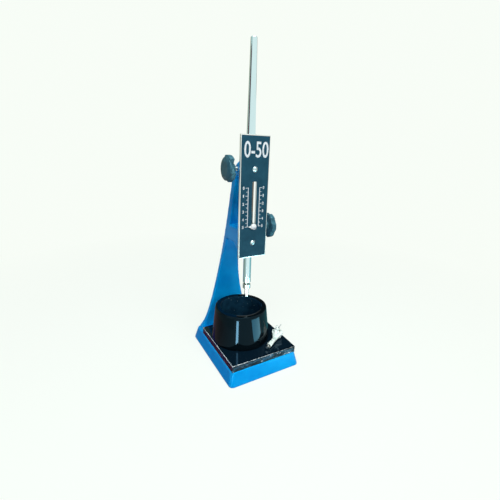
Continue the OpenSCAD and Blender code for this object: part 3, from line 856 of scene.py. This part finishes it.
def bag_ear(side, lean, top):
    """A limp flap of film above the knot, top mm high, that leans out to one side."""
    verts, faces = [], []
    rows, cols = 12, 8
    for k in range(rows + 1):
        t = k / rows
        half = 0.7 + 2.1 * math.sin(math.pi * min(1, t * 1.05)) ** 0.8
        for i in range(cols + 1):
            s = 2 * i / cols - 1
            off = lean * top * math.sqrt(t) * side
            ripple = 0.5 * math.sin(3 * s + 5 * t)
            verts.append(bag_point(s * half + 0.4 * ripple, off + ripple, EAR_FOOT + top * t))
    for k in range(rows):
        for i in range(cols):
            a = k * (cols + 1) + i
            faces.append((a, a + 1, a + cols + 2, a + cols + 1))
    ear = mesh_object("ear", verts, faces)
    m = ear.modifiers.new("solid", "SOLIDIFY")
    m.thickness = EAR_THICK * MM
    m.offset = 0
    bake(ear)
    return ear


def bag_neck():
    """The tied neck: a small wrapped knot with two limp ears and the wire round it."""
    parts = [lathe("knot", KNOT_PROFILE, 40, (BAG_X, BAG_Y, BAG_Z))]
    parts += [bag_ear(-1, 0.45, 3.4), bag_ear(1, 0.75, 7.2)]
    knot = joined("bag_knot_form", parts)
    for p in knot.data.polygons:
        p.use_smooth = True
    paint(knot, film)
    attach(knot, "bag")
    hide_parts("bag_tie")
    start, bend, end = bag_point(-1.0, -4.2, 13.7), bag_point(1.5, 4.4, 13.4), bag_point(2.4, 5.6, 12.9)
    wire = joined("bag_tie_wire", [rod_between("wire", start, bend, 0.45, 16),
                                   rod_between("wire_end", bend, end, 0.42, 16)])
    paint(wire, tie_brown)
    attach(wire, "bag")


bag_film()
bag_neck()
dress("initial_needle", bright)
dress("final_needle", bright)


# -------------------------------------------------------------- floor and lights
def stage_plane(name, size, loc, rot, mat):
    x, y = size[0] / 2, size[1] / 2
    verts = [(-x, -y, 0), (x, -y, 0), (x, y, 0), (-x, y, 0)]
    ob = mesh_object(name, verts, [(0, 1, 2, 3)], smooth=False, scale=1.0)
    ob.location = loc
    ob.rotation_euler = rot
    ob.data.materials.append(mat)
    return ob


BACK = (0.936, 0.982, 0.926)


def sees_backdrop(t):
    """1 for camera, transmission and glossy rays, which see the plain backdrop, and 0 for the rest."""
    lp = t.nodes.new("ShaderNodeLightPath")
    total = lp.outputs["Is Camera Ray"]
    for kind in ("Is Transmission Ray", "Is Glossy Ray"):
        either = t.nodes.new("ShaderNodeMath")
        either.operation = "MAXIMUM"
        t.links.new(total, either.inputs[0])
        t.links.new(lp.outputs[kind], either.inputs[1])
        total = either.outputs[0]
    return total


# from FADE_NEAR to FADE_FAR metres out, the shaded floor fades into the plain backdrop
FADE_NEAR, FADE_FAR = 0.22, 0.75


def floor_material():
    mt = bpy.data.materials.new("floor")
    mt.use_nodes = True
    t = mt.node_tree
    t.nodes.clear()
    out = t.nodes.new("ShaderNodeOutputMaterial")
    diff = t.nodes.new("ShaderNodeBsdfDiffuse")
    diff.inputs["Color"].default_value = (0.30, 0.31, 0.42, 1)
    shade = t.nodes.new("ShaderNodeBsdfDiffuse")
    shade.inputs["Color"].default_value = (0.16, 0.17, 0.165, 1)
    glow = t.nodes.new("ShaderNodeEmission")
    glow.inputs["Color"].default_value = (*BACK, 1)
    glow.inputs["Strength"].default_value = 0.84
    pure = t.nodes.new("ShaderNodeEmission")
    pure.inputs["Color"].default_value = (*BACK, 1)
    add = t.nodes.new("ShaderNodeAddShader")
    t.links.new(shade.outputs[0], add.inputs[0])
    t.links.new(glow.outputs[0], add.inputs[1])
    co = t.nodes.new("ShaderNodeTexCoord")
    ln = t.nodes.new("ShaderNodeVectorMath")
    ln.operation = "LENGTH"
    t.links.new(co.outputs["Object"], ln.inputs[0])
    mr = t.nodes.new("ShaderNodeMapRange")
    mr.inputs["From Min"].default_value = FADE_NEAR
    mr.inputs["From Max"].default_value = FADE_FAR
    t.links.new(ln.outputs["Value"], mr.inputs["Value"])
    fade = t.nodes.new("ShaderNodeMixShader")
    t.links.new(mr.outputs[0], fade.inputs[0])
    t.links.new(add.outputs[0], fade.inputs[1])
    t.links.new(pure.outputs[0], fade.inputs[2])
    mix = t.nodes.new("ShaderNodeMixShader")
    t.links.new(sees_backdrop(t), mix.inputs[0])
    t.links.new(diff.outputs[0], mix.inputs[1])
    t.links.new(fade.outputs[0], mix.inputs[2])
    t.links.new(mix.outputs[0], out.inputs["Surface"])
    return mt


stage_plane("floor", (12, 12), (0, 0, -0.0002), (0, 0, 0), floor_material())


def glow_material(name, color, strength):
    mt = bpy.data.materials.new(name)
    mt.use_nodes = True
    t = mt.node_tree
    t.nodes.clear()
    out = t.nodes.new("ShaderNodeOutputMaterial")
    em = t.nodes.new("ShaderNodeEmission")
    em.inputs["Color"].default_value = (*color, 1)
    em.inputs["Strength"].default_value = strength
    t.links.new(em.outputs[0], out.inputs["Surface"])
    return mt


def around(azimuth, distance, height):
    """A place in metres, azimuth degrees round from the front towards the right."""
    a = math.radians(azimuth)
    return Vector((math.sin(a) * distance, -math.cos(a) * distance, height))


def only_reflected(ob):
    """Hides a card from every ray but the glossy ones."""
    ob.visible_camera = False
    ob.visible_diffuse = False
    ob.visible_shadow = False
    ob.visible_transmission = False


def reflector(name, size, azimuth, distance, height, color, strength):
    """A card off the floor that only reflections show, turned to face the object."""
    loc = around(azimuth, distance, height)
    q = (Vector((0, 0, 0.18)) - loc).to_track_quat("Z", "Y")
    only_reflected(stage_plane(name, size, loc, q.to_euler(), glow_material(name, color, strength)))


def lamp(name, size, azimuth, distance, height, power, color, aim=0.2):
    """A soft rectangular lamp, turned to a point aim metres up the axis."""
    loc = around(azimuth, distance, height)
    li = bpy.data.lights.new(name, "AREA")
    li.shape = "RECTANGLE"
    li.size, li.size_y = size
    li.energy = power
    li.color = color
    ob = add_object(name, li)
    ob.location = loc
    ob.rotation_euler = (Vector((0, 0, aim)) - loc).to_track_quat("-Z", "Y").to_euler()
    return ob


key = lamp("window", (0.9, 1.3), 4, 1.2, 1.0, 11.5, (1.0, 1.0, 0.92))
key.visible_glossy = False
lamp("top_soft", (1.1, 1.1), -10, 0.45, 1.6, 15, (0.94, 1.0, 0.98))
fill = lamp("high_fill", (0.5, 0.5), -42, 0.8, 1.2, 5, (0.80, 0.95, 1.0), 0.06)
fill.visible_glossy = False
reflector("warm_card", (0.5, 0.8), -105, 0.8, 0.25, (0.30, 0.03, 0.05), 0.35)
reflector("dark_flag_behind", (1.6, 0.65), 150, 0.9, 0.82, (0.02, 0.03, 0.035), 1.0)
reflector("olive_card", (0.9, 1.2), -168, 0.8, 0.45, (0.28, 0.32, 0.20), 1.0)
reflector("grey_card_left", (1.0, 1.2), -105, 0.9, 0.45, (0.62, 0.74, 0.70), 1.0)
reflector("high_strip", (0.14, 0.6), -40, 1.0, 1.3, (0.80, 0.95, 1.0), 60.0)
reflector("brown_card_right", (1.5, 0.5), 104, 0.8, 0.10, (0.20, 0.13, 0.09), 1.0)


def floor_wedge(name, near, far, azimuth, spread, color, strength, z, apex=0.03):
    """A flat card on the floor that only reflections show.

    It runs from near to far metres out, and spreads by so many degrees from a point apex metres out.
    """
    a = math.radians(azimuth)
    half = math.tan(math.radians(spread / 2))
    verts = []
    for r, side in ((near, -1), (near, 1), (far, 1), (far, -1)):
        w = side * (r - apex) * half
        verts.append((math.sin(a) * r + math.cos(a) * w, -math.cos(a) * r + math.sin(a) * w, z))
    ob = mesh_object(name, verts, [(0, 1, 2, 3)], smooth=False, scale=1.0)
    ob.data.materials.append(glow_material(name, color, strength))
    only_reflected(ob)


def floor_fan(name, near, far, azimuths, colors, steps, z):
    """Wedges side by side whose colours run evenly through the given ones."""
    a0, a1 = azimuths
    width = (a1 - a0) / steps
    for k in range(steps):
        t = k / (steps - 1) * (len(colors) - 1)
        i = min(int(t), len(colors) - 2)
        color = tuple(p + (q - p) * (t - i) for p, q in zip(colors[i], colors[i + 1]))
        azimuth = a0 + width * (k + 0.5)
        floor_wedge("%s_%d" % (name, k), near, far, azimuth, abs(width), color, 1.0, z, 0.0)


WARM = (BACK, (0.34, 0.28, 0.26), (0.24, 0.15, 0.15), (0.16, 0.07, 0.06))
OLIVE = ((0.62, 0.70, 0.66), (0.22, 0.29, 0.25), (0.20, 0.25, 0.18))
DEEP_TEAL = ((0.22, 0.62, 0.68), (0.05, 0.26, 0.30), (0.03, 0.10, 0.12))
TEAL = ((0.50, 0.78, 0.82), (0.16, 0.40, 0.42), (0.07, 0.20, 0.22))
# the floor's cards lie in layers a tenth of a millimetre apart, the outer fans lowest
OUTER_Z, INNER_Z, BRIGHT_Z, BESIDE_Z = 0.0002, 0.0003, 0.0004, 0.0005
floor_fan("left_floor", 0.045, 0.21, (-52, -200), WARM, 40, INNER_Z)
floor_fan("olive_floor", 0.20, 0.60, (-52, -200), OLIVE, 40, OUTER_Z)
floor_fan("right_floor", 0.045, 0.21, (54, 150), DEEP_TEAL, 30, INNER_Z)
floor_fan("teal_floor", 0.20, 0.60, (36, 150), TEAL, 40, OUTER_Z)
floor_wedge("bright_strip", 0.14, 0.30, -40, 9, (0.94, 0.98, 1.0), 34.0, BRIGHT_Z)
floor_wedge("dim_window", 0.13, 0.28, 32, 40, (0.50, 0.92, 1.0), 9.0, BRIGHT_Z)
floor_wedge("violet_beside", 0.052, 0.088, -90, 128.954, (0.06, 0.05, 0.30), 1.0, BESIDE_Z)


def soft_world():
    """A weak cool light all round, seen as the plain backdrop."""
    world = bpy.data.worlds.new("world")
    world.use_nodes = True
    t = world.node_tree
    t.nodes.clear()
    out = t.nodes.new("ShaderNodeOutputWorld")
    soft = t.nodes.new("ShaderNodeBackground")
    soft.inputs["Color"].default_value = (0.78, 0.82, 1.0, 1)
    soft.inputs["Strength"].default_value = 0.16
    plain = t.nodes.new("ShaderNodeBackground")
    plain.inputs["Color"].default_value = (*BACK, 1)
    mix = t.nodes.new("ShaderNodeMixShader")
    t.links.new(sees_backdrop(t), mix.inputs[0])
    t.links.new(soft.outputs[0], mix.inputs[1])
    t.links.new(plain.outputs[0], mix.inputs[2])
    t.links.new(mix.outputs[0], out.inputs["Surface"])
    return world


bpy.context.scene.world = soft_world()

# ------------------------------------------------------------------------ camera
SENSOR_MM = 36
PICTURE_PX = 500
FOCAL_PX = 307.5
CAMERA_PLACE = Vector((-199.5, -357.1, 294.2)) * MM
yaw, pitch, roll = math.radians(-30.0), math.radians(17.86), math.radians(1.88)
fwd = Vector((-math.sin(yaw) * math.cos(pitch), math.cos(yaw) * math.cos(pitch), -math.sin(pitch)))
right0 = Vector((math.cos(yaw), math.sin(yaw), 0))
up0 = right0.cross(fwd)
right = math.cos(roll) * right0 + math.sin(roll) * up0
up = -math.sin(roll) * right0 + math.cos(roll) * up0
cam_data = bpy.data.cameras.new("camera")
cam_data.sensor_width = SENSOR_MM
cam_data.lens = FOCAL_PX * SENSOR_MM / PICTURE_PX
cam_data.clip_start = 0.01
cam = add_object("camera", cam_data)
m3 = Matrix((right, up, -fwd)).transposed()
cam.matrix_world = Matrix.Translation(CAMERA_PLACE) @ m3.to_4x4()
bpy.context.scene.camera = cam
bpy.context.scene.view_settings.view_transform = "Standard"

bpy.context.view_layer.update()
